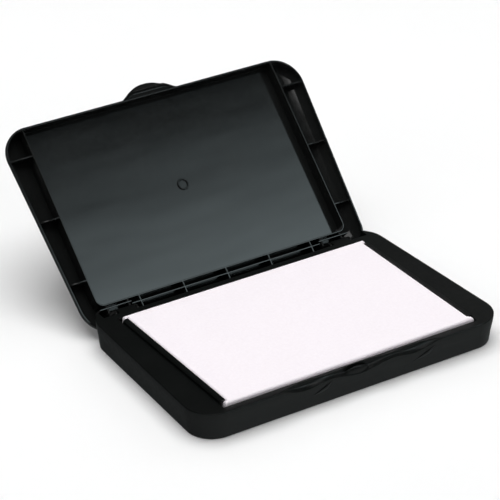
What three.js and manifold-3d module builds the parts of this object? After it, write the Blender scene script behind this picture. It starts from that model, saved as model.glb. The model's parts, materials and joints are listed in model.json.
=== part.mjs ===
// Hinged plastic ink pad case, lid open, as a scene graph of separate pieces.
// Millimetres, +Z up, +X to the right, the hinge at the back (+Y).
// The origin is the centre of the base's footprint, on the surface that it stands on.
import * as THREE from "three";
import { mergeVertices } from "three/addons/utils/BufferGeometryUtils.js";
import Module from "manifold-3d";

const wasm = await Module();
wasm.setup();

// ---- driving dimensions -------------------------------------------------------------------
const depth = 88.5;            // front to back, base and lid alike
const frontWidth = 139;        // the outline is a slight trapezoid, wider at the front
const backWidth = 131;
const cornerRadius = 11.75;
const rimHeight = 11.7;        // flat top of the base
const lidHeight = 6.8;         // outside height of the lid
const rimGap = 0.2;            // between the closed lid and the base
const openAngle = THREE.MathUtils.degToRad(137.1);

const wall = 1.4;              // the base's moulded walls
const lidWall = 0.8;
const rib = 0.6;               // moulded stiffening ribs inside the lid
const gap = 0.3;               // clearance between neighbouring pieces

const axisY = 39.98;           // hinge axis, parallel to X
const axisZ = 8.62;
const knuckleRadius = 2.6;
const pinRadius = 1.2;
const pinClearance = 0.15;
const knuckleInner = 46;       // the base's knuckle runs between these two distances from the middle
const knuckleOuter = 53.9;
const earThickness = 1;        // a lid ear stands at each end of a knuckle

const padHalfWidth = 56;
const padFront = -40.6;
const padBack = 32.4;
const padTop = 13.15;
const lipInner = 55.1;         // the cup's side lips hold the pad's edges down
const lipHeight = 1.2;
const lipFront = -38.3;
const lipBack = 30;

const front = -depth / 2;
const back = depth / 2;
const recessHalfWidth = 57.3;
const recessFront = -40.9;
const recessBack = 34;
const recessFloor = 4.2;
const notchHalfWidth = 61.4;   // the hinge notch across the back of the base
const notchFront = 37;
const plateThickness = 1.4;

const lidRim = rimHeight + rimGap;
const lidTop = lidRim + lidHeight;
const edgeReach = 11;          // the lid's sides and back curve over as a quarter ellipse,
const edgeRise = 6.3;          // this far in and this far up
const frontEdgeRadius = 2.2;   // its free edge is nearly square
const panelThickness = 1.4;
const backEdgeRise = 1.2;      // the lid's back edge stops short of its rim, to clear the base
const windowHalfWidth = 58;    // the lid's window rib: its sides, and how far it stands
const windowSetback = 6.5;     // from the hinge
const innerEarX = 44;          // the rib along the hinge steps here, beside the inner ears
const sideRibs = [18, 45.2, 72.1];          // distances from the hinge
const hingeRibs = [-40, -20, 0, 20, 40];    // distances from the middle

// ---- materials ----------------------------------------------------------------------------
const material = (color, roughness, metalness = 0) =>
  new THREE.MeshStandardMaterial({ color, roughness, metalness });
const blackPlastic = () => material(0x17191a, 0.45);
const glossPlastic = () => material(0x1b1f1f, 0.28);
const whiteCloth = () => material(0xfaf3f8, 0.95);
const whiteFelt = () => material(0xefeae6, 1.0);
const greyBoard = () => material(0x8d8a84, 0.85);

// ---- solids -------------------------------------------------------------------------------
function solid(geometry) {
  const bare = geometry.index ? geometry.toNonIndexed() : geometry.clone();
  bare.deleteAttribute("normal");
  bare.deleteAttribute("uv");
  const merged = mergeVertices(bare, 1e-4);
  const mesh = new wasm.Mesh({
    numProp: 3,
    vertProperties: new Float32Array(merged.attributes.position.array),
    triVerts: new Uint32Array(merged.index.array),
  });
  return new wasm.Manifold(mesh);
}

// Triangles thinner than this are dropped.
const sliver = 0.004;

function geometryOf(manifold) {
  const { vertProperties, triVerts } = manifold.setTolerance(sliver).getMesh();
  const geometry = new THREE.BufferGeometry();
  geometry.setAttribute("position", new THREE.BufferAttribute(new Float32Array(vertProperties), 3));
  geometry.setIndex(new THREE.BufferAttribute(new Uint32Array(triVerts), 1));
  geometry.computeVertexNormals();
  return geometry;
}

function piece(name, manifold, surface) {
  const mesh = new THREE.Mesh(geometryOf(manifold), surface);
  mesh.name = name;
  return mesh;
}

// A box between two opposite corners.
function block([x0, y0, z0], [x1, y1, z1]) {
  const box = new THREE.BoxGeometry(x1 - x0, y1 - y0, z1 - z0);
  return solid(box.translate((x0 + x1) / 2, (y0 + y1) / 2, (z0 + z1) / 2));
}

// A round bar along X, centred on y, z.
function barX(radius, x0, x1, y, z, segments = 32) {
  const bar = new THREE.CylinderGeometry(radius, radius, x1 - x0, segments);
  return solid(bar.rotateZ(Math.PI / 2).translate((x0 + x1) / 2, y, z));
}

// An ellipsoid with the given half-sizes.
function ellipsoid([x, y, z], [a, b, c], segments = 24) {
  const ball = new THREE.SphereGeometry(1, segments, segments / 2);
  return solid(ball.scale(a, b, c).translate(x, y, z));
}

const union = (solids) => solids.reduce((sum, next) => sum.add(next));

// ---- outlines -----------------------------------------------------------------------------
// The side of the trapezoid at y, moved in by the given amount.
function halfWidthAt(y, inset) {
  const taper = (frontWidth - backWidth) / 2 / depth;
  const middle = (frontWidth + backWidth) / 4;
  return middle - taper * y - inset * Math.hypot(1, taper);
}

// Rounds the corners of a counter-clockwise polygon. Each corner is [x, y, radius].
function roundedPolygon(corners, segments = 8) {
  const points = [];
  corners.forEach(([x, y, radius], i) => {
    const corner = new THREE.Vector2(x, y);
    const last = new THREE.Vector2(...corners.at(i - 1));
    const next = new THREE.Vector2(...corners[(i + 1) % corners.length]);
    const inward = corner.clone().sub(last).normalize();
    const onward = next.sub(corner).normalize();
    const turn = Math.atan2(inward.cross(onward), inward.dot(onward));
    const start = corner.clone().addScaledVector(inward, -radius * Math.tan(turn / 2));
    const normal = new THREE.Vector2(-inward.y, inward.x);
    const centre = start.clone().addScaledVector(normal, radius);
    for (let k = 0; k <= segments; k++) {
      points.push(start.clone().rotateAround(centre, (turn * k) / segments));
    }
  });
  return points;
}

// The case's outline moved in by the given amount, or by another amount at the front.
function caseOutline(inset, frontInset = inset) {
  const y0 = front + frontInset;
  const y1 = back - inset;
  const radius = Math.max(cornerRadius - inset, 1);
  const frontHalf = halfWidthAt(y0, inset);
  const backHalf = halfWidthAt(y1, inset);
  return roundedPolygon([
    [-frontHalf, y0, radius],
    [frontHalf, y0, radius],
    [backHalf, y1, radius],
    [-backHalf, y1, radius],
  ]);
}

function prism(points, z0, z1) {
  const shape = new THREE.Shape(points);
  const geometry = new THREE.ExtrudeGeometry(shape, { depth: z1 - z0, bevelEnabled: false });
  return solid(geometry.translate(0, 0, z0));
}

// A solid through level copies of the case's outline, each [inset, z] or [inset, z, frontInset],
// from the bottom up.
function caseLoft(levels) {
  const rings = levels.map(([inset, z, frontInset]) =>
    caseOutline(inset, frontInset).map((p) => [p.x, p.y, z]));
  const count = rings[0].length;
  const triangles = [];
  const quad = (a, b, c, d) => triangles.push(a, b, c, a, c, d);
  for (let level = 0; level + 1 < rings.length; level++) {
    for (let i = 0; i < count; i++) {
      const j = (i + 1) % count;
      quad(rings[level][i], rings[level][j], rings[level + 1][j], rings[level + 1][i]);
    }
  }
  const top = rings.at(-1);
  const bottom = rings[0];
  for (let i = 1; i + 1 < count; i++) {
    triangles.push(top[0], top[i], top[i + 1], bottom[0], bottom[i + 1], bottom[i]);
  }
  const geometry = new THREE.BufferGeometry();
  geometry.setAttribute("position", new THREE.Float32BufferAttribute(triangles.flat(), 3));
  return solid(geometry);
}

// ---- base ---------------------------------------------------------------------------------
// A ball that cuts a shallow scoop from the front top edge: half as long as given at the top,
// with the given drop on the front face and the given reach across the rim.
function scoop(x, halfLength, drop, reach) {
  const along = halfLength ** 2;
  const rise = (along / drop - drop) / 2;
  const ahead = (along / reach - reach) / 2;
  const radius = Math.sqrt(along + rise ** 2 + ahead ** 2);
  const ball = new THREE.SphereGeometry(radius, 160, 80);
  return solid(ball.translate(x, front - ahead, rimHeight + rise));
}

function baseShell() {
  const outside = caseLoft([[1.5, 0], [1.25, 0.5], [0.95, 4], [0.45, 8], [0, 11], [0.5, rimHeight]]);
  const cavity = caseLoft([[1.5 + wall, -1], [1.2 + wall, 5], [0.5 + wall, rimHeight - wall]]);
  const aroundRecess = block(
    [-recessHalfWidth - wall, front, recessFloor - wall],
    [recessHalfWidth + wall, notchFront, rimHeight]);
  const aroundNotch = block(
    [-notchHalfWidth - wall, notchFront - wall, -2],
    [notchHalfWidth + wall, back + 1, rimHeight]);
  const recess = block(
    [-recessHalfWidth, recessFront, recessFloor],
    [recessHalfWidth, recessBack, rimHeight + 1]);
  const notch = block([-notchHalfWidth, notchFront, -1], [notchHalfWidth, back + 1, rimHeight + 1]);
  const scoops = [scoop(-25.5, 12, 2.3, 2.2), scoop(0, 13, 3.1, 2.6), scoop(25.5, 12, 2.3, 2.2)];
  const catchNub = ellipsoid([0, front + 1.3, rimHeight - 1.9], [5.5, 1.2, 0.6]);
  const hollow = cavity.subtract(aroundRecess).subtract(aroundNotch);
  return outside
    .subtract(hollow)
    .subtract(recess)
    .subtract(notch)
    .subtract(union(scoops))
    .add(catchNub)
    .add(union([-1, 1].map(knuckle)))
    .subtract(union([-1, 1].map((side) => hingeBore(side))));
}

// Puts two distances from the middle on one side of it, in rising order of x.
const spanOn = (side, a, b) => (side > 0 ? [a, b] : [-b, -a]);

function knuckle(side) {
  const [x0, x1] = spanOn(side, knuckleInner, knuckleOuter);
  const web = block(
    [x0, notchFront - wall / 2, axisZ - knuckleRadius],
    [x1, axisY, axisZ + knuckleRadius]);
  return barX(knuckleRadius, x0, x1, axisY, axisZ).add(web);
}

function hingeBore(side) {
  const reach = earThickness + 1;
  const [x0, x1] = spanOn(side, knuckleInner - reach, knuckleOuter + reach);
  return barX(pinRadius + pinClearance, x0, x1, axisY, axisZ);
}

function bottomPlate() {
  const plate = caseLoft([[1.5 + wall + gap, 0], [1.5 + wall + gap, plateThickness]]);
  const notch = block(
    [-notchHalfWidth - wall - gap, notchFront - wall - gap, -1],
    [notchHalfWidth + wall + gap, back + 1, plateThickness + 1]);
  return plate.subtract(notch);
}

// ---- ink pad ------------------------------------------------------------------------------
const cupFloor = recessFloor + gap;
const cupWall = 0.7;
const cupOuter = recessHalfWidth - gap;
const cupFront = recessFront + gap;
const cupBack = recessBack - gap;
const boardBottom = cupFloor + cupWall + gap;
const boardThickness = 1;
const padBottom = boardBottom + boardThickness + gap;
const lipBottom = padTop - lipHeight;
const clothThickness = 0.6;
const shoulder = lipBottom - gap;      // the pad is full width below this level

function padCup() {
  const outside = block([-cupOuter, cupFront, cupFloor], [cupOuter, cupBack, padTop]);
  const lowEnds = block([-cupOuter + cupWall, cupFront - 1, rimHeight - 1.5],
    [cupOuter - cupWall, cupBack + 1, padTop + 1]);
  const inside = block([-cupOuter + cupWall, cupFront + cupWall, cupFloor + cupWall],
    [cupOuter - cupWall, cupBack - cupWall, padTop + 1]);
  const frontEnd = block([-cupOuter - 1, cupFront - 1, rimHeight - 1.5],
    [cupOuter + 1, lipFront, padTop + 1]);
  const backEnd = block([-cupOuter - 1, lipBack, rimHeight - 1.5],
    [cupOuter + 1, cupBack + 1, padTop + 1]);
  const lips = [-1, 1].map((side) => {
    const [x0, x1] = spanOn(side, lipInner, cupOuter);
    return block([x0, lipFront, lipBottom], [x1, lipBack, padTop]);
  });
  return outside.subtract(lowEnds).subtract(inside).subtract(frontEnd).subtract(backEnd)
    .add(union(lips));
}

function backingBoard() {
  const side = padHalfWidth - gap;
  return block([-side, cupFront + cupWall + gap, boardBottom],
    [side, cupBack - cupWall - gap, boardBottom + boardThickness]);
}

// The pad's body, moved in by the given amount, with room for the cup's lips along both sides.
function padBody(inset, bottom) {
  const low = block([-padHalfWidth + inset, cupFront + cupWall + gap + inset, bottom],
    [padHalfWidth - inset, padBack - inset, shoulder - inset]);
  const middle = block([-lipInner + gap + inset, padFront + inset, rimHeight - 1],
    [lipInner - gap - inset, padBack - inset, padTop - inset]);
  const frontEars = block([-padHalfWidth + inset, padFront + inset, rimHeight - 1],
    [padHalfWidth - inset, lipFront - gap - inset, padTop - inset]);
  const backEars = block([-padHalfWidth + inset, lipBack + gap + inset, rimHeight - 1],
    [padHalfWidth - inset, padBack - inset, padTop - inset]);
  return low.add(middle).add(frontEars).add(backEars);
}

const clothCover = () => padBody(0, padBottom).subtract(padBody(clothThickness, padBottom - 1));
const feltCore = () => padBody(clothThickness + gap, padBottom);

// ---- lid, built closed --------------------------------------------------------------------
// The lid's body moved in by the given amount, between two levels.
function lidBody(inset, z0, z1) {
  const roundStart = lidTop - edgeRise;
  const frontRadius = frontEdgeRadius - 2 * inset;
  const levels = [[inset, z0]];
  const steps = 10;
  for (let i = 0; i <= steps; i++) {
    const angle = (Math.PI / 2) * (i / steps);
    const z = roundStart + (z1 - roundStart) * Math.sin(angle);
    const aboveFrontStart = Math.max(z - z1 + frontRadius, 0);
    const frontRounding = frontRadius - Math.sqrt(frontRadius ** 2 - aboveFrontStart ** 2);
    levels.push([edgeReach - (edgeReach - inset) * Math.cos(angle), z, inset + frontRounding]);
  }
  return caseLoft(levels);
}

const fromHinge = (v) => axisY - v;     // y at a distance v from the hinge towards the free edge

// The rib that runs round the lid's window: two sides and the hinge side, open to the front wall.
function windowRib() {
  const x = windowHalfWidth;
  const y = fromHinge(windowSetback);
  const frame = (offset, radius) => roundedPolygon([
    [-x - offset, front - 5, 0.5],
    [x + offset, front - 5, 0.5],
    [x + offset, y + offset, radius],
    [-x - offset, y + offset, radius],
  ], 6);
  return prism(frame(rib / 2, 3.6), lidRim, lidTop)
    .subtract(prism(frame(-rib / 2, 2.5), lidRim - 1, lidTop + 1));
}

function ribAlongX(x0, x1, v) {
  const y = fromHinge(v);
  return block([x0, y - rib / 2, lidRim], [x1, y + rib / 2, lidTop]);
}

function ribAlongY(x, v0, v1) {
  return block([x - rib / 2, fromHinge(v1), lidRim], [x + rib / 2, fromHinge(v0), lidTop]);
}

function lidRibs() {
  const ribs = [windowRib(), ribAlongX(-innerEarX, innerEarX, 4)];
  for (const side of [-1, 1]) {
    for (const v of sideRibs) {
      ribs.push(ribAlongX(...spanOn(side, windowHalfWidth, frontWidth / 2 + 0.5), v));
    }
    ribs.push(ribAlongX(...spanOn(side, innerEarX, windowHalfWidth), 5));
  }
  for (const x of hingeRibs) ribs.push(ribAlongY(x, -4, windowSetback + rib / 2));
  return union(ribs);
}

// A plate that reaches down from the lid to the hinge axis.
function ear(x0) {
  const x1 = x0 + earThickness;
  const neck = block([x0, axisY - knuckleRadius, axisZ], [x1, axisY + knuckleRadius, lidTop - 1]);
  const root = block([x0, fromHinge(windowSetback), lidRim], [x1, axisY + 3.5, lidTop - 1]);
  return barX(knuckleRadius, x0, x1, axisY, axisZ).add(neck).add(root);
}

function earsOn(side) {
  const [inner] = spanOn(side, knuckleInner - gap - earThickness, knuckleInner - gap);
  const [outer] = spanOn(side, knuckleOuter + gap, knuckleOuter + gap + earThickness);
  return ear(inner).add(ear(outer));
}

// The thumb tab on the free edge: a bell outline with a small ridge under its tip.
function thumbTab() {
  const middle = 1;
  const halfBase = 12.5;
  const reach = 5;
  const thickness = 2.3;
  const root = front + 2;
  const points = [new THREE.Vector2(middle - halfBase, root)];
  const steps = 24;
  for (let i = 0; i <= steps; i++) {
    const t = (2 * i) / steps - 1;
    const bell = (1 - Math.abs(t) ** 3.2) ** 2;
    points.push(new THREE.Vector2(middle + halfBase * t, front - reach * bell));
  }
  points.push(new THREE.Vector2(middle + halfBase, root));
  const plate = prism(points, lidRim, lidRim + thickness);
  const ridge = block([middle - 6, front - 3.4, lidRim - 0.6], [middle + 6, front - 2.6, lidRim + 0.5]);
  return plate.add(ridge);
}

function lidShell() {
  const outside = lidBody(0, lidRim, lidTop);
  const inside = lidBody(lidWall, lidRim - 1, lidTop - panelThickness);
  const strengthened = lidRibs().add(earsOn(-1)).add(earsOn(1));
  const aboveRim = block([-frontWidth, front - 10, lidRim], [frontWidth, back + 10, lidTop + 1]);
  const withinWalls = lidBody(lidWall / 2, lidRim - 1, lidTop - panelThickness / 2);
  const held = strengthened.subtract(aboveRim.subtract(withinWalls));
  const backEdge = block([-frontWidth, axisY + knuckleRadius, lidRim - 1],
    [frontWidth, back + 1, lidRim + backEdgeRise]);
  return outside
    .subtract(inside)
    .add(held)
    .subtract(backEdge)
    .add(thumbTab())
    .subtract(union([-1, 1].map(hingeBore)));
}

function hingePin(side) {
  const reach = earThickness + gap;
  const [x0, x1] = spanOn(side, knuckleInner - reach, knuckleOuter + reach);
  return barX(pinRadius, x0, x1, axisY, axisZ);
}

// ---- assembly -----------------------------------------------------------------------------
const inkPad = new THREE.Group();
inkPad.add(
  piece("base_shell", baseShell(), blackPlastic()),
  piece("bottom_plate", bottomPlate(), blackPlastic()),
  piece("pad_cup", padCup(), blackPlastic()),
  piece("backing_board", backingBoard(), greyBoard()),
  piece("felt_core", feltCore(), whiteFelt()),
  piece("cloth_cover", clothCover(), whiteCloth()));

// The lid and its pins are built closed and turned open about the hinge axis.
const hinge = new THREE.Group();
hinge.position.set(0, axisY, axisZ);
hinge.rotation.x = -openAngle;
const closedLid = new THREE.Group();
closedLid.position.set(0, -axisY, -axisZ);
closedLid.add(
  piece("lid", lidShell(), glossPlastic()),
  piece("hinge_pin_left", hingePin(-1), blackPlastic()),
  piece("hinge_pin_right", hingePin(1), blackPlastic()));
hinge.add(closedLid);
inkPad.add(hinge);

export default inkPad;
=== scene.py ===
"""A black hinged ink pad case with a white cloth pad, lid open, on a pale studio floor.

Pieces are built in millimetres, as the CAD frame is, and scaled to metres when they are finished.
"""
import json
import math

import bmesh
import bpy
import numpy as np
from mathutils import Matrix, Vector


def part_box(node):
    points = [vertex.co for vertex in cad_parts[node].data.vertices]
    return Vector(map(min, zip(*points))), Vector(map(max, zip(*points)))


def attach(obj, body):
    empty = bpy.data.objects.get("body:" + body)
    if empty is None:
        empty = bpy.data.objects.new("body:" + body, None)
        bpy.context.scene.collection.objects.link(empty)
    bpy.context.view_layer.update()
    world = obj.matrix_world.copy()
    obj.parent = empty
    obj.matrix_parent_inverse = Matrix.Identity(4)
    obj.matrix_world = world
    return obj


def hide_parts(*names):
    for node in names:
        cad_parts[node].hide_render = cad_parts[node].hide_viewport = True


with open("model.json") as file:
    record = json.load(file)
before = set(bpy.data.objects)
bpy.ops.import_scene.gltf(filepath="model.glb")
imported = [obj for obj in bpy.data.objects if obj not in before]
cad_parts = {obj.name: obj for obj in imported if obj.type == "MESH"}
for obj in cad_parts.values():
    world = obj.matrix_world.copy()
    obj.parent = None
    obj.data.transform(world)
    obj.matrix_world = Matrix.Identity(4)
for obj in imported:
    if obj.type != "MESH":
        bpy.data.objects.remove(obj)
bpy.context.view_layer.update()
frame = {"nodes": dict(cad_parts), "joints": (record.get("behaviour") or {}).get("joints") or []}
MM = 0.001

# ---- sizes, in millimetres -----------------------------------------------------------------
hinge = frame["joints"][0]
AXIS_Y = hinge["pos_m"][1] / MM
AXIS_Z = hinge["pos_m"][2] / MM
OPEN_ANGLE = math.radians(137.1)        # the lid's opening in the frame's rest pose


def node_box(node):
    """The lowest and highest corners of a CAD node, in millimetres."""
    low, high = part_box(node)
    return [v / MM for v in low], [v / MM for v in high]


DEPTH = 88.5                            # the outline: a trapezoid with round corners
FRONT_WIDTH = 139
BACK_WIDTH = 131
CORNER = 11.75
FRONT = -DEPTH / 2
BACK = DEPTH / 2
RIM = node_box("base_shell")[1][2]      # the base's flat top
LID_RIM = RIM + 0.2                     # the closed lid stands this far up
LID_TOP = LID_RIM + 6.8
WALL = 1.4                              # the base's walls
DRAFT = [(1.15, 2.6), (0.95, 4.5), (0.66, 6.4), (0.3, 8.4), (0.08, 10)]     # (inset, z) up its sides
FOOT_RADIUS = 0.6                       # its bottom edge
TOP_RADIUS = 0.45                       # its top edge
NUB = (0, FRONT + 1.7, RIM - 2.9)       # the middle of its catch nub, an ellipsoid
NUB_SIZE = (5.8, 1.05, 2.35)

GRIP_START, GRIP_END = -37.5, 40.5      # the wavy finger grip along the front top edge
GRIP_MIDDLE = 1.5
GRIP_REACH = 3.0                        # across the rim, where the grip is deepest
GRIP_KNOTS = [(0, 3.55), (14.5, 1.35), (24.3, 2.65), (39, 0)]   # (distance from its middle, drop)
SOFT_ENDS = (-16, 31)                   # x where the grip runs out softly
CREASES = [(-12, -20), (35, 26)]        # x at the top and the bottom of each ridge below the grip
CREASE_HEIGHTS = (9.6, 5.2)

PANEL = 1.4                             # the lid's thicknesses
LID_WALL = 0.8
RIB = 0.6
RIB_END = LID_RIM + 0.05                # the ribs stop just short of the lid's rim
EDGE_REACH = 11                         # the lid's sides and back curve over as a quarter ellipse,
EDGE_RISE = 6.3                         # this far in and this far up
FRONT_EDGE = 2.2                        # its free edge is nearly square
BACK_EDGE_RISE = 1.2                    # its back edge stops short of its rim
WINDOW_HALF = 58                        # the rib round the lid's window: its sides, and how far it
WINDOW_SETBACK = 6.5                    # stands from the hinge
WINDOW_CORNER = 3.05
INNER_EAR_X = 44                        # the rib along the hinge steps here
SIDE_RIBS = (18, 45.2, 72.1)            # distances from the hinge
HINGE_RIBS = (-40, -20, 0, 20, 40)      # x
RING = (0.5, 45.5)                      # the gate ring: x, and its distance from the hinge

CUP_LOW, CUP_HIGH = node_box("pad_cup")
CUP_WALL = 0.7
LIP_INNER = 55.1                        # the cup's side lips hold the pad's edges down
LIP_FRONT = -38.3
LIP_BACK = 30.0
LIP_HEIGHT = 1.2
PAD_LOW, PAD_HIGH = node_box("cloth_cover")
PAD_EDGE = 0.95                         # the rounding of the pad's top edge
PAD_CROWN = 0.42
PAD_DRIFT = 0.035                       # the slow unevenness of its top
PAD_GRID = 2.2
THREAD = 0.00055                        # the pitch of the cloth's threads, in metres

NOTCH_HALF = 61.4                       # the hinge notch across the base's back
NOTCH_FRONT = 37.0
KNUCKLE_RADIUS = 2.6
KNUCKLE_INNER = 46.0
KNUCKLE_OUTER = 53.9
EAR = 1.0                               # a lid ear's thickness
GAP = 0.3                               # between neighbouring pieces
BORE = 1.35                             # the hinge pins' holes


# ---- mesh helpers --------------------------------------------------------------------------
def mesh_object(name, vertices, faces):
    mesh = bpy.data.meshes.new(name)
    mesh.from_pydata([tuple(v) for v in vertices], [], faces)
    mesh.update()
    made = bpy.data.objects.new(name, mesh)
    bpy.context.scene.collection.objects.link(made)
    return made


def loft(rings, name="loft"):
    """A closed solid through rings of equal length, counter-clockwise seen from the last one."""
    count = len(rings[0])
    vertices = [point for ring in rings for point in ring]
    faces = [list(range(count))[::-1]]
    for level in range(len(rings) - 1):
        low, high = level * count, (level + 1) * count
        for i in range(count):
            j = (i + 1) % count
            faces.append([low + i, low + j, high + j, high + i])
    last = (len(rings) - 1) * count
    faces.append([last + i for i in range(count)])
    return mesh_object(name, vertices, faces)


def block(low, high):
    (x0, y0, z0), (x1, y1, z1) = low, high
    ring = [(x0, y0), (x1, y0), (x1, y1), (x0, y1)]
    return loft([[(x, y, z0) for x, y in ring], [(x, y, z1) for x, y in ring]], "block")


def prism(points, z0, z1):
    return loft([[(x, y, z0) for x, y in points], [(x, y, z1) for x, y in points]], "prism")


def bar_x(radius, x0, x1, y, z, segments=48):
    turns = [2 * math.pi * i / segments for i in range(segments)]
    circle = [(y + radius * math.cos(a), z + radius * math.sin(a)) for a in turns]
    return loft([[(x, py, pz) for py, pz in circle] for x in (x0, x1)], "bar")


def ellipsoid(centre, radii, segments=32):
    rings = []
    for i in range(1, segments // 2):
        latitude = math.pi * (i / (segments // 2) - 0.5)
        around = [2 * math.pi * k / segments for k in range(segments)]
        rings.append([(centre[0] + radii[0] * math.cos(latitude) * math.cos(a),
                       centre[1] + radii[1] * math.cos(latitude) * math.sin(a),
                       centre[2] + radii[2] * math.sin(latitude)) for a in around])
    return loft(rings, "ellipsoid")


def evaluated(target):
    """Replaces the object's mesh by what its modifiers make of it."""
    graph = bpy.context.evaluated_depsgraph_get()
    mesh = bpy.data.meshes.new_from_object(target.evaluated_get(graph))
    old = target.data
    target.modifiers.clear()
    target.data = mesh
    bpy.data.meshes.remove(old)
    return target


def combine(target, others, operation):
    for other in others:
        modifier = target.modifiers.new("combine", "BOOLEAN")
        modifier.operation = operation
        modifier.solver = "EXACT"
        modifier.object = other
        evaluated(target)
        bpy.data.objects.remove(other)
    return target


def cut(target, *others):
    return combine(target, others, "DIFFERENCE")


def join(target, *others):
    return combine(target, others, "UNION")


def soften_edges(target, width, segments=3, angle=32):
    """Merges the slivers that the cuts leave, then rounds the outward edges."""
    weld = target.modifiers.new("weld", "WELD")
    weld.merge_threshold = 0.02
    evaluated(target)
    mesh = bmesh.new()
    mesh.from_mesh(target.data)
    weight = mesh.edges.layers.float.new("bevel_weight_edge")
    for edge in mesh.edges:
        if edge.is_manifold and edge.calc_face_angle_signed() > math.radians(angle):
            edge[weight] = 1
    mesh.to_mesh(target.data)
    mesh.free()
    modifier = target.modifiers.new("round", "BEVEL")
    modifier.width = width
    modifier.segments = segments
    modifier.limit_method = "WEIGHT"
    modifier.use_clamp_overlap = True
    modifier.miter_outer = "MITER_ARC"
    evaluated(target)
    return target


def smooth(target, angle=45):
    target.data.shade_smooth()
    target.data.set_sharp_from_angle(angle=math.radians(angle))
    modifier = target.modifiers.new("normals", "WEIGHTED_NORMAL")
    modifier.keep_sharp = True
    modifier.weight = 80
    return evaluated(target)


def to_metres(target, turn=None):
    if turn:
        target.data.transform(turn)
    target.data.transform(Matrix.Scale(MM, 4))
    return target


def place(target, name, body, material, slot, *nodes):
    """Names a finished piece, gives it its material and ties it to the frame."""
    target.name = name
    target.data.name = name
    target.data.materials.clear()
    target.data.materials.append(material)
    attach(target, body)
    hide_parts(*nodes)
    return target


# ---- outlines ------------------------------------------------------------------------------
def round_polygon(corners, segments=16):
    """Rounds the corners of a counter-clockwise polygon. Each corner is (x, y, radius)."""
    points = []
    for i, (x, y, radius) in enumerate(corners):
        corner = Vector((x, y))
        last = Vector(corners[i - 1][:2])
        following = Vector(corners[(i + 1) % len(corners)][:2])
        inward = (corner - last).normalized()
        onward = (following - corner).normalized()
        turn = math.atan2(inward.x * onward.y - inward.y * onward.x, inward.dot(onward))
        start = corner - inward * radius * math.tan(turn / 2)
        centre = start + Vector((-inward.y, inward.x)) * radius
        for k in range(segments + 1):
            spoke = start - centre
            spoke.rotate(Matrix.Rotation(turn * k / segments, 2))
            points.append(tuple(centre + spoke))
    return points


def case_outline(inset, front_inset=None):
    """The case's outline moved in by the given amount, or by another amount at the front."""
    taper = (FRONT_WIDTH - BACK_WIDTH) / 2 / DEPTH
    middle = (FRONT_WIDTH + BACK_WIDTH) / 4
    y0 = FRONT + (inset if front_inset is None else front_inset)
    y1 = BACK - inset
    front_half, back_half = [middle - taper * y - inset * math.hypot(1, taper) for y in (y0, y1)]
    radius = max(CORNER - inset, 1)
    return round_polygon([(-front_half, y0, radius), (front_half, y0, radius),
                          (back_half, y1, radius), (-back_half, y1, radius)])


def case_loft(levels):
    """A solid through level outlines from the bottom up, each (inset, z) or (inset, z, front inset)."""
    return loft([[(x, y, z) for x, y in case_outline(inset, *front_inset)]
                 for inset, z, *front_inset in levels])


def arc_levels(inset, z, radius, start, end, steps=5):
    """Levels round an edge: a circle about (inset, z), from start to end in degrees."""
    levels = []
    for i in range(steps + 1):
        angle = math.radians(start + (end - start) * i / steps)
        levels.append((inset - radius * math.cos(angle), z + radius * math.sin(angle)))
    return levels


# ---- base ----------------------------------------------------------------------------------
def wave_drop(x):
    """How far the finger scoops cut down the front face at x: two side dips and a deep middle one."""
    x = abs(x - GRIP_MIDDLE)
    for (x0, d0), (x1, d1) in zip(GRIP_KNOTS, GRIP_KNOTS[1:]):
        if x <= x1:
            blend = (1 - math.cos(math.pi * (x - x0) / (x1 - x0))) / 2
            return d0 + (d1 - d0) * blend
    return 0


def scoop_cutter():
    """A long cutter along the front top edge: its hollow face leaves the front wall nearly level and
    turns up to the rim, softly at the right ends of the side dips and tightly elsewhere."""
    step = 0.5
    quarter = 9
    rings = []
    for i in range(int((GRIP_END - GRIP_START) / step) + 1):
        x = GRIP_START + i * step
        drop = wave_drop(x)
        run = GRIP_REACH * math.sqrt(drop / wave_drop(GRIP_MIDDLE))
        soft = max(math.exp(-((x - middle) / 7) ** 2) for middle in SOFT_ENDS)
        power = 5 - 3 * soft
        section = [(FRONT - 3, RIM - drop - 0.3)]
        for k in range(quarter + 1):
            turn = k * math.pi / (2 * quarter)
            s, c = math.sin(turn), math.cos(turn)
            along = s ** (2 / power)
            up = 0.25 * along + 0.75 * (1 - c ** (2 / power))
            section.append((FRONT - 0.2 + (run + 0.2) * along, RIM - drop + drop * up))
        section += [(FRONT + run, RIM + 4), (FRONT - 3, RIM + 4)]
        rings.append([(x, y, z) for y, z in section])
    return loft(rings, "scoops")


def crease(x0, x1):
    """A soft ridge on the front wall, from under a scoop's end down to the left, fading out."""
    z0, z1 = CREASE_HEIGHTS
    width, height = 1.8, 0.42
    across = [(-0.35, 0.5), (-0.1, -0.9), (0.05, -1), (0.5, -0.6), (1, 0.5)]
    rings = []
    steps = 24
    for i in range(steps + 1):
        t = i / steps
        swell = math.sin(math.pi * min(t * 1.4 + 0.02, 0.5)) * math.cos(math.pi / 2 * t) + 0.02
        x = x0 + (x1 - x0) * t
        z = z0 + (z1 - z0) * t ** 0.8
        wall = FRONT + front_draft(z)
        rings.append([(x + 0.4 * a * width * swell, max(wall + b * height * swell, FRONT + 0.02 * a),
                       z - a * width * swell)
                      for a, b in across])
    return loft(rings, "crease")


def front_draft(z):
    """How far the front wall stands back from the widest level at height z."""
    heights = [level[1] for level in DRAFT]
    insets = [level[0] for level in DRAFT]
    return float(np.interp(z, heights, insets))


def sides(inner, outer):
    """The two spans of x between these distances from the middle."""
    return [(-outer, -inner), (inner, outer)]


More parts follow.
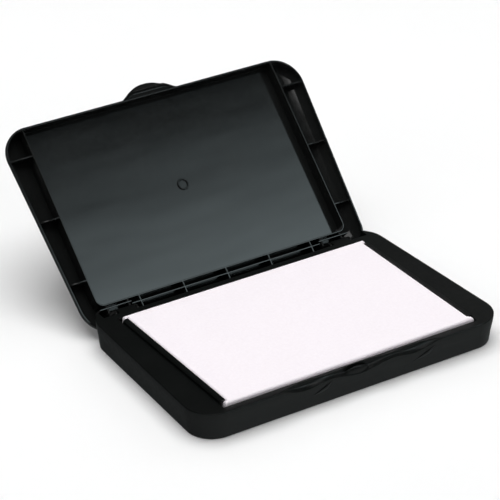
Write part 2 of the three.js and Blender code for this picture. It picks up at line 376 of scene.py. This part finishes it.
def base_case():
    levels = arc_levels(2.0, FOOT_RADIUS, FOOT_RADIUS, -90, 0, 4)
    levels += DRAFT
    levels += arc_levels(TOP_RADIUS, RIM - TOP_RADIUS, TOP_RADIUS, 0, 90, 5)
    shell = case_loft(levels)
    cavity = case_loft([(1.4 + WALL, -1), (1.1 + WALL, 5), (0.6 + WALL, RIM - WALL)])
    around_recess = block((-CUP_HIGH[0] - GAP - WALL, FRONT - 1, CUP_LOW[2] - GAP - WALL),
                          (CUP_HIGH[0] + GAP + WALL, NOTCH_FRONT, RIM))
    around_notch = block((-NOTCH_HALF - WALL, NOTCH_FRONT - WALL, -2),
                         (NOTCH_HALF + WALL, BACK + 1, RIM))
    cut(cavity, around_recess, around_notch)
    recess = block((CUP_LOW[0] - GAP, CUP_LOW[1] - GAP, CUP_LOW[2] - GAP),
                   (CUP_HIGH[0] + GAP, CUP_HIGH[1] + GAP, RIM + 1))
    notch = block((-NOTCH_HALF, NOTCH_FRONT, -1), (NOTCH_HALF, BACK + 1, RIM + 1))
    cut(shell, cavity, recess, notch, scoop_cutter())
    for x0, x1 in sides(KNUCKLE_INNER, KNUCKLE_OUTER):
        web = block((x0, NOTCH_FRONT - WALL / 2, AXIS_Z - KNUCKLE_RADIUS),
                    (x1, AXIS_Y, AXIS_Z + KNUCKLE_RADIUS))
        join(shell, web, bar_x(KNUCKLE_RADIUS, x0, x1, AXIS_Y, AXIS_Z))
        cut(shell, bar_x(BORE, x0 - 1, x1 + 1, AXIS_Y, AXIS_Z))
    soften_edges(shell, 0.3)
    join(shell, ellipsoid(NUB, NUB_SIZE), *[crease(x0, x1) for x0, x1 in CREASES])
    return smooth(shell)


# ---- pad and cup ---------------------------------------------------------------------------
def lip_bar(x0, x1):
    """A side lip of the cup: flat over the pad, and sloping down to its outer edge."""
    side = -1 if x0 < 0 else 1
    inner, outer = (x1, x0) if x0 < 0 else (x0, x1)
    low, high = CUP_HIGH[2] - LIP_HEIGHT, CUP_HIGH[2]
    section = [(inner, low), (outer, low), (outer, high - 0.75), (outer - 0.35 * side, high - 0.3),
               (outer - 0.85 * side, high - 0.06), (inner, high)]
    if side > 0:
        section.reverse()
    return loft([[(x, y, z) for x, z in section] for y in (LIP_FRONT, LIP_BACK)])


def pad_cup():
    low_top = RIM - 1.5
    cup = block(CUP_LOW, (CUP_HIGH[0], CUP_HIGH[1], low_top))
    cut(cup, block([v + CUP_WALL for v in CUP_LOW],
                   (CUP_HIGH[0] - CUP_WALL, CUP_HIGH[1] - CUP_WALL, RIM)))
    for x0, x1 in sides(LIP_INNER, CUP_HIGH[0] + GAP / 2):
        outer = (x0, x0 + CUP_WALL) if x0 < 0 else (x1 - CUP_WALL, x1)
        join(cup, block((outer[0], LIP_FRONT, low_top - 1), (outer[1], LIP_BACK, CUP_HIGH[2] - 0.5)))
        join(cup, lip_bar(x0, x1))
    return smooth(soften_edges(cup, 0.18))


def spread(edges, coarse):
    """Grid lines through the given edges: close together beside each edge, coarse between."""
    close = [0, 0.04, 0.12, 0.25, 0.42, 0.65, 0.95, 1.4]
    lines = set()
    for edge in edges:
        for offset in close:
            lines.update((edge - offset, edge + offset))
    low, high = edges[0], edges[-1]
    steps = round((high - low) / coarse)
    for i in range(steps + 1):
        line = low + (high - low) * i / steps
        if min(abs(line - other) for other in lines) > coarse / 3:
            lines.add(line)
    return sorted(line for line in lines if low <= line <= high)


def pad_height(x, y):
    """The cloth's height: crowned, rounded over at its edges, and held down by the side lips."""
    half, front, back, top = PAD_HIGH[0], PAD_LOW[1], PAD_HIGH[1], PAD_HIGH[2]
    inner = LIP_INNER - GAP
    beside_lip = LIP_FRONT - GAP < y < LIP_BACK + GAP
    limit = inner if beside_lip else half
    if abs(x) > limit + 1e-6:
        return RIM - 0.1
    edge = min(limit - abs(x), y - front, back - y)
    if not beside_lip and abs(x) < inner:
        edge = min(half - abs(x), y - front, back - y)
    if not beside_lip and abs(x) > inner:
        edge = min(edge, max(LIP_FRONT - GAP - y, y - LIP_BACK - GAP))
    inside = min(max(edge, 0), PAD_EDGE) / PAD_EDGE
    rounding = PAD_EDGE * (1 - math.sqrt(max(0, 1 - (1 - inside) ** 2)))
    across = 1 - (x / half) ** 2
    along = 1 - ((y - (front + back) / 2) / ((back - front) / 2)) ** 2
    crown = PAD_CROWN * (max(across, 0) * max(along, 0)) ** 0.35
    drift = PAD_DRIFT * math.sin(x * 0.11 + 0.6) * math.cos(y * 0.13 - 0.4)
    return top - rounding + (crown + drift) * min(1, max(edge, 0) / 3)


def pad_cover():
    half, front, back = PAD_HIGH[0], PAD_LOW[1], PAD_HIGH[1]
    inner = LIP_INNER - GAP
    xs = spread([-half, -inner, inner, half], PAD_GRID)
    ys = spread([front, LIP_FRONT - GAP, LIP_BACK + GAP, back], PAD_GRID)
    bottom = PAD_LOW[2]
    vertices = [(x, y, pad_height(x, y)) for y in ys for x in xs]
    vertices += [(x, y, bottom) for y in ys for x in xs]
    wide, count = len(xs), len(xs) * len(ys)
    faces = []
    for j in range(len(ys) - 1):
        for i in range(wide - 1):
            a = j * wide + i
            faces.append([a, a + 1, a + wide + 1, a + wide])
            faces.append([count + a, count + a + wide, count + a + wide + 1, count + a + 1])
    border = list(range(wide))
    border += [j * wide + wide - 1 for j in range(1, len(ys))]
    border += [(len(ys) - 1) * wide + i for i in range(wide - 2, -1, -1)]
    border += [j * wide for j in range(len(ys) - 2, 0, -1)]
    for a, b in zip(border, border[1:] + border[:1]):
        faces.append([a, count + a, count + b, b])
    pad = mesh_object("pad", vertices, faces)
    pad.data.shade_smooth()
    pad.data.set_sharp_from_angle(angle=math.radians(70))
    return pad


# ---- lid, built closed ---------------------------------------------------------------------
def round_end(half, flat=0.1, steps=4):
    """(half width, height) up the round free end of a rib or wall of this half thickness."""
    turns = [math.pi / 2 * i / steps for i in range(steps + 1)]
    radius = half - flat
    return [(flat + radius * math.sin(turn), radius - radius * math.cos(turn)) for turn in turns]


def lid_body(inset, z1, rim, steps=14):
    """The lid's outside, or its inside when moved in, above the given levels of its rim."""
    start = LID_TOP - EDGE_RISE
    front_radius = FRONT_EDGE - 2.7 * inset
    levels = list(rim)
    for i in range(steps + 1):
        angle = math.pi / 2 * i / steps
        z = start + (z1 - start) * math.sin(angle)
        above = max(z - z1 + front_radius, 0)
        rounding = front_radius - math.sqrt(front_radius ** 2 - min(above, front_radius) ** 2)
        levels.append((EDGE_REACH - (EDGE_REACH - inset) * math.cos(angle), z, inset + rounding))
    return case_loft(levels)


def lid_outside():
    middle = LID_WALL / 2
    return lid_body(0, LID_TOP, [(middle - w, LID_RIM + h) for w, h in round_end(middle)])


def lid_inside():
    middle = LID_WALL / 2
    rim = [(middle + w, LID_RIM + h) for w, h in round_end(middle)]
    return lid_body(LID_WALL, LID_TOP - PANEL, [(rim[0][0], LID_RIM - 1)] + rim)


def from_hinge(v):
    """y at a distance v from the hinge towards the free edge."""
    return AXIS_Y - v


def window_rib():
    x, y, radius, half = WINDOW_HALF, from_hinge(WINDOW_SETBACK), WINDOW_CORNER, RIB / 2

    def outline(offset, z):
        level = round_polygon([(-x - offset, FRONT - 5, 0.5), (x + offset, FRONT - 5, 0.5),
                               (x + offset, y + offset, radius + offset),
                               (-x - offset, y + offset, radius + offset)], 10)
        return [(px, py, z) for px, py in level]

    ends = round_end(half)
    outer = [outline(w, RIB_END + h) for w, h in ends] + [outline(half, LID_TOP)]
    inner = [outline(-ends[0][0], LID_RIM - 1)] + [outline(-w, RIB_END + h) for w, h in ends]
    return cut(loft(outer, "rib"), loft(inner + [outline(-half, LID_TOP + 1)], "rib"))


def rib_section():
    """(across, z) round a straight rib, counter-clockwise, its free end rounded."""
    half = RIB / 2
    ends = [(w, RIB_END + h) for w, h in round_end(half)]
    return [(-w, z) for w, z in ends[::-1]] + ends + [(half, LID_TOP), (-half, LID_TOP)]


def rib_x(x0, x1, v):
    """A rib along x, at a distance v from the hinge."""
    return loft([[(x, from_hinge(v) + across, z) for across, z in rib_section()]
                 for x in (x0, x1)], "rib")


def rib_y(x, v0, v1):
    """A rib at x, between two distances from the hinge."""
    return loft([[(x + across, from_hinge(v), z) for across, z in rib_section()[::-1]]
                 for v in (v1, v0)], "rib")


def lid_ribs():
    ribs = window_rib()
    join(ribs, rib_x(-INNER_EAR_X, INNER_EAR_X, 4))
    for x0, x1 in sides(WINDOW_HALF, FRONT_WIDTH / 2 + 0.5):
        for v in SIDE_RIBS:
            join(ribs, rib_x(x0, x1, v))
    for x0, x1 in sides(INNER_EAR_X, WINDOW_HALF):
        join(ribs, rib_x(x0, x1, 5))
    for x in HINGE_RIBS:
        join(ribs, rib_y(x, -4, WINDOW_SETBACK + RIB / 2))
    return ribs


def ear_outline(inset):
    """(y, z) round an ear, counter-clockwise from +x: wide on the lid, with a round end on the axis."""
    reach = KNUCKLE_RADIUS - inset
    front, back, top = from_hinge(WINDOW_SETBACK) + inset, AXIS_Y + 3.5 - inset, LID_TOP - 1
    end = [(AXIS_Y - reach * math.cos(turn), AXIS_Z - reach * math.sin(turn))
           for turn in (math.pi * i / 20 for i in range(21))]
    return ([(AXIS_Y - reach, LID_RIM + inset)] + end + [(AXIS_Y + reach, LID_RIM + inset + 0.2),
            (back, LID_RIM + inset + 0.9), (back, top), (front, top), (front, LID_RIM + inset + 0.3)])


def ear(x0, rounding=0.4, steps=4):
    """A plate that reaches down from the lid to the hinge axis, its edges rounded."""
    turns = [math.pi / 2 * i / steps for i in range(steps + 1)]
    levels = [(x0 + rounding * (1 - math.cos(a)), rounding * (1 - math.sin(a))) for a in turns]
    levels += [(2 * x0 + EAR - x, inset) for x, inset in levels[::-1]]
    return loft([[(x, y, z) for y, z in ear_outline(inset)] for x, inset in levels], "ear")


def ears():
    places = []
    for x0, x1 in sides(KNUCKLE_INNER, KNUCKLE_OUTER):
        places += [ear(x0 - GAP - EAR), ear(x1 + GAP)]
    return places


def thumb_tab():
    """The bell-shaped thumb tab: its underside curls down to a lip, then slopes back to the tip."""
    middle, half_base, reach = 0.3, 13.2, 4.85
    root, low, high = FRONT + 0.5, LID_RIM + 0.1, LID_RIM + 2.2
    rings = []
    steps = 48
    for i in range(steps + 1):
        t = 2 * i / steps - 1
        bell = (1 - abs(t) ** 2.3) ** 1.5
        lip = FRONT + 0.2 - 2.6 * min(1, 1.5 * bell)
        tip = min(FRONT + 0.3 - (reach + 0.3) * bell, lip)
        swell = min(1, 2 * bell)
        section = [(root, low), (lip + 1.2 * swell, low + 0.5 * swell),
                   (lip + 0.65 * swell, low + 0.3 * swell),
                   (lip + 0.3 * swell, low - 0.3 * swell), (lip, low - 0.6 * swell),
                   (lip - 0.3 * swell, low - 0.5 * swell), (lip + (tip - lip) * 0.35 - 0.05, low + 0.3),
                   (lip + (tip - lip) * 0.8 - 0.1, low + 0.9), (tip - 0.15, low + 1.4),
                   (tip - 0.1, low + 1.8), (tip + 0.5 * bell + 0.1, high), (root, high)]
        rings.append([(middle + half_base * t, y, z) for y, z in section])
    return loft([ring[::-1] for ring in rings], "tab")


def gate_ring(x, y, z, radius=2.1, tube=0.42, segments=40):
    """The small raised ring that the mould's gate leaves on the panel."""
    vertices, faces = [], []
    around = 10
    for i in range(segments):
        turn = 2 * math.pi * i / segments
        here, onward = i * around, (i + 1) % segments * around
        for k in range(around):
            angle = 2 * math.pi * k / around
            reach = radius + tube * math.cos(angle)
            vertices.append((x + reach * math.cos(turn), y + reach * math.sin(turn),
                             z + 1.4 * tube * math.sin(angle)))
            beside = (k + 1) % around
            faces.append([here + k, onward + k, onward + beside, here + beside])
    return mesh_object("gate_ring", vertices, faces)


def lid_shell():
    shell = lid_outside()
    cut(shell, lid_inside())
    middle = LID_WALL / 2
    outside = block((-FRONT_WIDTH, FRONT - 10, LID_RIM - 0.5), (FRONT_WIDTH, BACK + 10, LID_TOP + 1))
    cut(outside, lid_body(middle, LID_TOP - PANEL / 2, [(middle, LID_RIM - 1, middle)]))
    strengthened = lid_ribs()
    join(strengthened, *ears())
    cut(strengthened, outside)
    join(shell, strengthened)
    cut(shell, block((-FRONT_WIDTH, AXIS_Y + KNUCKLE_RADIUS, LID_RIM - 1),
                     (FRONT_WIDTH, BACK + 1, LID_RIM + BACK_EDGE_RISE)))
    for x0, x1 in sides(KNUCKLE_INNER, KNUCKLE_OUTER):
        cut(shell, bar_x(BORE, x0 - EAR - 1, x1 + EAR + 1, AXIS_Y, AXIS_Z))
    join(shell, thumb_tab(), gate_ring(RING[0], from_hinge(RING[1]), LID_TOP - PANEL))
    return smooth(shell)


def opened():
    """Turns the closed lid to the frame's rest pose."""
    about = Matrix.Translation((0, AXIS_Y, AXIS_Z))
    return about @ Matrix.Rotation(-OPEN_ANGLE, 4, "X") @ about.inverted()


# ---- materials -----------------------------------------------------------------------------
def node_material(name):
    material = bpy.data.materials.new(name)
    material.use_nodes = True
    nodes, links = material.node_tree.nodes, material.node_tree.links
    return material, nodes, links, nodes["Principled BSDF"]


def noise(nodes, links, scale, detail=3.0, roughness=0.5, stretch=1.0):
    """Noise in the object's own space, drawn out along x by the given factor."""
    coordinates = nodes.new("ShaderNodeTexCoord")
    drawn_out = nodes.new("ShaderNodeMapping")
    drawn_out.inputs["Scale"].default_value = (1 / stretch, 1, 1)
    links.new(coordinates.outputs["Object"], drawn_out.inputs["Vector"])
    texture = nodes.new("ShaderNodeTexNoise")
    texture.inputs["Scale"].default_value = scale
    texture.inputs["Detail"].default_value = detail
    texture.inputs["Roughness"].default_value = roughness
    links.new(drawn_out.outputs["Vector"], texture.inputs["Vector"])
    return texture.outputs["Fac"]


def mapped(nodes, links, value, low, high, source=(0.3, 0.7)):
    ranged = nodes.new("ShaderNodeMapRange")
    ranged.inputs["From Min"].default_value = source[0]
    ranged.inputs["From Max"].default_value = source[1]
    ranged.inputs["To Min"].default_value = low
    ranged.inputs["To Max"].default_value = high
    links.new(value, ranged.inputs["Value"])
    return ranged.outputs["Result"]


def blended(nodes, links, value, dark, light):
    mix = nodes.new("ShaderNodeMix")
    mix.data_type = "RGBA"
    mix.inputs["A"].default_value = (*dark, 1)
    mix.inputs["B"].default_value = (*light, 1)
    links.new(value, mix.inputs["Factor"])
    return mix.outputs["Result"]


def bump(nodes, links, height, strength, distance, below=None):
    node = nodes.new("ShaderNodeBump")
    node.inputs["Strength"].default_value = strength
    node.inputs["Distance"].default_value = distance
    links.new(height, node.inputs["Height"])
    if below is not None:
        links.new(below, node.inputs["Normal"])
    return node.outputs["Normal"]


def moulded_plastic(name, dark, light, roughness, grain, ripple):
    """Moulded polystyrene: nearly black, faintly mottled, with a fine grain over a slow ripple."""
    material, nodes, links, shader = node_material(name)
    mottle = noise(nodes, links, 60, 4)
    links.new(blended(nodes, links, mapped(nodes, links, mottle, 0, 1), dark, light),
              shader.inputs["Base Color"])
    scuffs = noise(nodes, links, 420, 5, 0.65)
    links.new(mapped(nodes, links, scuffs, *roughness), shader.inputs["Roughness"])
    slow = bump(nodes, links, noise(nodes, links, 48, 2, 0.4, stretch=3.5), 1.0, ripple)
    links.new(bump(nodes, links, noise(nodes, links, 3200, 2), 1.0, grain, slow),
              shader.inputs["Normal"])
    shader.inputs["IOR"].default_value = 1.5
    return material


def woven_cloth():
    """Fine plain-woven cotton, white with a faint rose cast."""
    material, nodes, links, shader = node_material("pad_cloth")
    coordinates = nodes.new("ShaderNodeTexCoord")
    split = nodes.new("ShaderNodeSeparateXYZ")
    links.new(coordinates.outputs["Object"], split.inputs["Vector"])
    threads = []
    for axis in ("X", "Y"):
        turns = nodes.new("ShaderNodeMath")
        turns.operation = "MULTIPLY"
        turns.inputs[1].default_value = 2 * math.pi / THREAD
        links.new(split.outputs[axis], turns.inputs[0])
        wave = nodes.new("ShaderNodeMath")
        wave.operation = "SINE"
        links.new(turns.outputs[0], wave.inputs[0])
        threads.append(wave.outputs[0])
    weave = nodes.new("ShaderNodeMath")
    weave.operation = "MULTIPLY"
    links.new(threads[0], weave.inputs[0])
    links.new(threads[1], weave.inputs[1])
    fuzz = noise(nodes, links, 900, 4, 0.6)
    shade = nodes.new("ShaderNodeMath")
    shade.operation = "MULTIPLY_ADD"
    shade.inputs[1].default_value = 0.25
    links.new(weave.outputs[0], shade.inputs[0])
    links.new(fuzz, shade.inputs[2])
    links.new(blended(nodes, links, shade.outputs[0], (0.86, 0.8, 0.84), (0.97, 0.92, 0.96)),
              shader.inputs["Base Color"])
    links.new(mapped(nodes, links, fuzz, 0.85, 1.0), shader.inputs["Roughness"])
    pile = bump(nodes, links, fuzz, 0.4, 0.00003)
    links.new(bump(nodes, links, weave.outputs[0], 0.5, 0.00004, pile), shader.inputs["Normal"])
    shader.inputs["Specular IOR Level"].default_value = 0.2
    shader.inputs["Sheen Weight"].default_value = 0.15
    return material


def fibrous(name, dark, light, scale):
    """Felt or board: a matt fibrous surface."""
    material, nodes, links, shader = node_material(name)
    fibres = noise(nodes, links, scale, 6, 0.7)
    links.new(blended(nodes, links, fibres, dark, light), shader.inputs["Base Color"])
    links.new(mapped(nodes, links, fibres, 0.85, 1.0), shader.inputs["Roughness"])
    links.new(bump(nodes, links, fibres, 0.6, 0.0002), shader.inputs["Normal"])
    return material


def studio_floor():
    material, nodes, links, shader = node_material("studio_floor")
    paper = noise(nodes, links, 9, 3)
    links.new(blended(nodes, links, paper, (0.92, 0.92, 0.92), (0.94, 0.94, 0.94)),
              shader.inputs["Base Color"])
    shader.inputs["Roughness"].default_value = 0.9
    shader.inputs["Specular IOR Level"].default_value = 0.1
    return material


# ---- studio --------------------------------------------------------------------------------
def area_light(name, location, target, size, power, along=None, mirrored=False):
    """A rectangular light that faces the target. Its width lies along the given direction.
    A mirrored one shows only as a reflection, the others only light the object."""
    light = bpy.data.lights.new(name, "AREA")
    light.shape = "RECTANGLE"
    light.size, light.size_y = size
    light.energy = power
    made = bpy.data.objects.new(name, light)
    away = (Vector(location) - Vector(target)).normalized()
    across = Vector(along or Vector((0, 0, 1)).cross(away))
    across = (across - away * across.dot(away)).normalized()
    turned = Matrix((across, away.cross(across), away)).transposed().to_4x4()
    made.matrix_world = Matrix.Translation(location) @ turned
    made.visible_glossy = mirrored
    made.visible_diffuse = not mirrored
    bpy.context.scene.collection.objects.link(made)
    return made


def fade_upwards(light):
    """Grades a light across its height: full at the bottom, nothing at the top edge."""
    light.use_nodes = True
    light.color = (0.8, 0.96, 1.0)
    nodes, links = light.node_tree.nodes, light.node_tree.links
    place_on_light = nodes.new("ShaderNodeNewGeometry")
    split = nodes.new("ShaderNodeSeparateXYZ")
    links.new(place_on_light.outputs["Parametric"], split.inputs["Vector"])
    fade = nodes.new("ShaderNodeMath")
    fade.operation = "POWER"
    fade.inputs[1].default_value = 1.3
    links.new(mapped(nodes, links, split.outputs["Y"], 1, 0, (0.5, 1)), fade.inputs[0])
    links.new(fade.outputs[0], nodes["Emission"].inputs["Strength"])


def surroundings():
    """Pale to the camera; what the black plastic mirrors is dim: dark above, grey below."""
    world = bpy.data.worlds.new("studio")
    bpy.context.scene.world = world
    world.use_nodes = True
    nodes, links = world.node_tree.nodes, world.node_tree.links
    coordinates = nodes.new("ShaderNodeTexCoord")
    split = nodes.new("ShaderNodeSeparateXYZ")
    links.new(coordinates.outputs["Generated"], split.inputs["Vector"])
    below = mapped(nodes, links, split.outputs["Z"], 1, 0, (-0.1, 0.1))
    ahead = mapped(nodes, links, split.outputs["Y"], 0.28, 0.07, (-0.7, 0.7))
    ground = nodes.new("ShaderNodeMath")
    ground.operation = "MULTIPLY_ADD"
    ground.inputs[2].default_value = 0.02
    links.new(below, ground.inputs[0])
    links.new(ahead, ground.inputs[1])
    links.new(ground.outputs[0], nodes["Background"].inputs["Strength"])
    nodes["Background"].inputs["Color"].default_value = (0.93, 1, 1, 1)
    pale = nodes.new("ShaderNodeBackground")
    pale.inputs["Color"].default_value = (0.95, 0.95, 0.95, 1)
    rays = nodes.new("ShaderNodeLightPath")
    chosen = nodes.new("ShaderNodeMixShader")
    links.new(rays.outputs["Is Camera Ray"], chosen.inputs["Fac"])
    links.new(nodes["Background"].outputs["Background"], chosen.inputs[1])
    links.new(pale.outputs["Background"], chosen.inputs[2])
    links.new(chosen.outputs["Shader"], nodes["World Output"].inputs["Surface"])


def studio():
    half = 4
    corners = [(-half, -half, 0), (half, -half, 0), (half, half, 0), (-half, half, 0)]
    floor = mesh_object("studio_floor", corners, [[0, 1, 2, 3]])
    floor.data.materials.append(studio_floor())
    floor.visible_glossy = False
    surroundings()
    area_light("overhead", (0, 0.1, 1.4), (0, 0.1, 0), (1.4, 1.4), 20.5, along=(1, 0, 0))
    area_light("fill_front", (0.2, -1.3, 0.9), (0, 0, 0), (1.6, 0.8), 4)
    area_light("fill_left", (-1.3, 0.2, 0.8), (0, 0, 0), (1.6, 0.8), 4)
    area_light("fill_right", (1.3, 0.2, 0.8), (0, 0, 0), (1.6, 0.8), 4)
    area_light("fill_back", (0, 1.5, 1.0), (0, 0, 0), (1.6, 0.8), 4)
    # The open lid's panel mirrors the softbox's upper part, which fades out towards its top edge.
    softbox = area_light("softbox", (0.568, -0.524, 0.891), (0, 0.08, 0.03), (0.45, 0.44), 2.25,
                         along=(0.971, 0.111, -0.213), mirrored=True)
    fade_upwards(softbox.data)
    area_light("top_strip", (-0.08, -0.25, 1.2), (0, 0, 0), (0.5, 0.4), 1.2,
               along=(1, 0, 0), mirrored=True)
    area_light("right_strip", (1.075, -0.045, 0.565), (-0.05, 0.08, 0.04), (0.35, 0.25), 0.3,
               mirrored=True)
    area_light("back_strip", (0.88, 0.78, 0.58), (0.06, 0, 0.01), (0.4, 0.4), 0.12, mirrored=True)
    bpy.context.scene.view_settings.view_transform = "Standard"


def camera():
    data = bpy.data.cameras.new("camera")
    data.lens = 190.61
    data.sensor_width = 36
    made = bpy.data.objects.new("camera", data)
    azimuth, elevation, roll = math.radians(-33.417), math.radians(29.048), math.radians(0.393)
    turned = (Matrix.Rotation(azimuth, 4, "Z") @ Matrix.Rotation(math.pi / 2 - elevation, 4, "X")
              @ Matrix.Rotation(roll, 4, "Z"))
    made.matrix_world = Matrix.Translation((-0.49357, -0.71856, 0.5243)) @ turned
    bpy.context.scene.collection.objects.link(made)
    bpy.context.scene.camera = made


# ---- assembly ------------------------------------------------------------------------------
def main():
    camera()
    studio()
    case_plastic = moulded_plastic("case_plastic", (0.0025, 0.003, 0.0028), (0.0041, 0.0047, 0.0045),
                                   (0.3, 0.42), 0.0000025, 0.00002)
    lid_plastic = moulded_plastic("lid_plastic", (0.0062, 0.0067, 0.0066), (0.009, 0.0096, 0.0094),
                                  (0.08, 0.13), 0.0000003, 0.00012)
    place(to_metres(base_case()), "base_case", "base", case_plastic, "case_black", "base_shell")
    place(to_metres(pad_cup()), "inner_cup", "base", case_plastic, "case_black", "pad_cup")
    pad = place(to_metres(pad_cover()), "pad_cover", "base", woven_cloth(), "pad_cloth", "cloth_cover")
    place(to_metres(lid_shell(), opened()), "lid_case", "lid", lid_plastic, "lid_black", "lid")
    felt = fibrous("felt", (0.7, 0.66, 0.62), (0.9, 0.87, 0.84), 700)
    board = fibrous("board", (0.2, 0.19, 0.17), (0.33, 0.32, 0.3), 350)
    for node, material in (("bottom_plate", case_plastic), ("hinge_pin_left", case_plastic),
                           ("hinge_pin_right", case_plastic), ("felt_core", felt),
                           ("backing_board", board)):
        for surface in frame["nodes"][node].material_slots:
            surface.link = "OBJECT"
            surface.material = material


main()
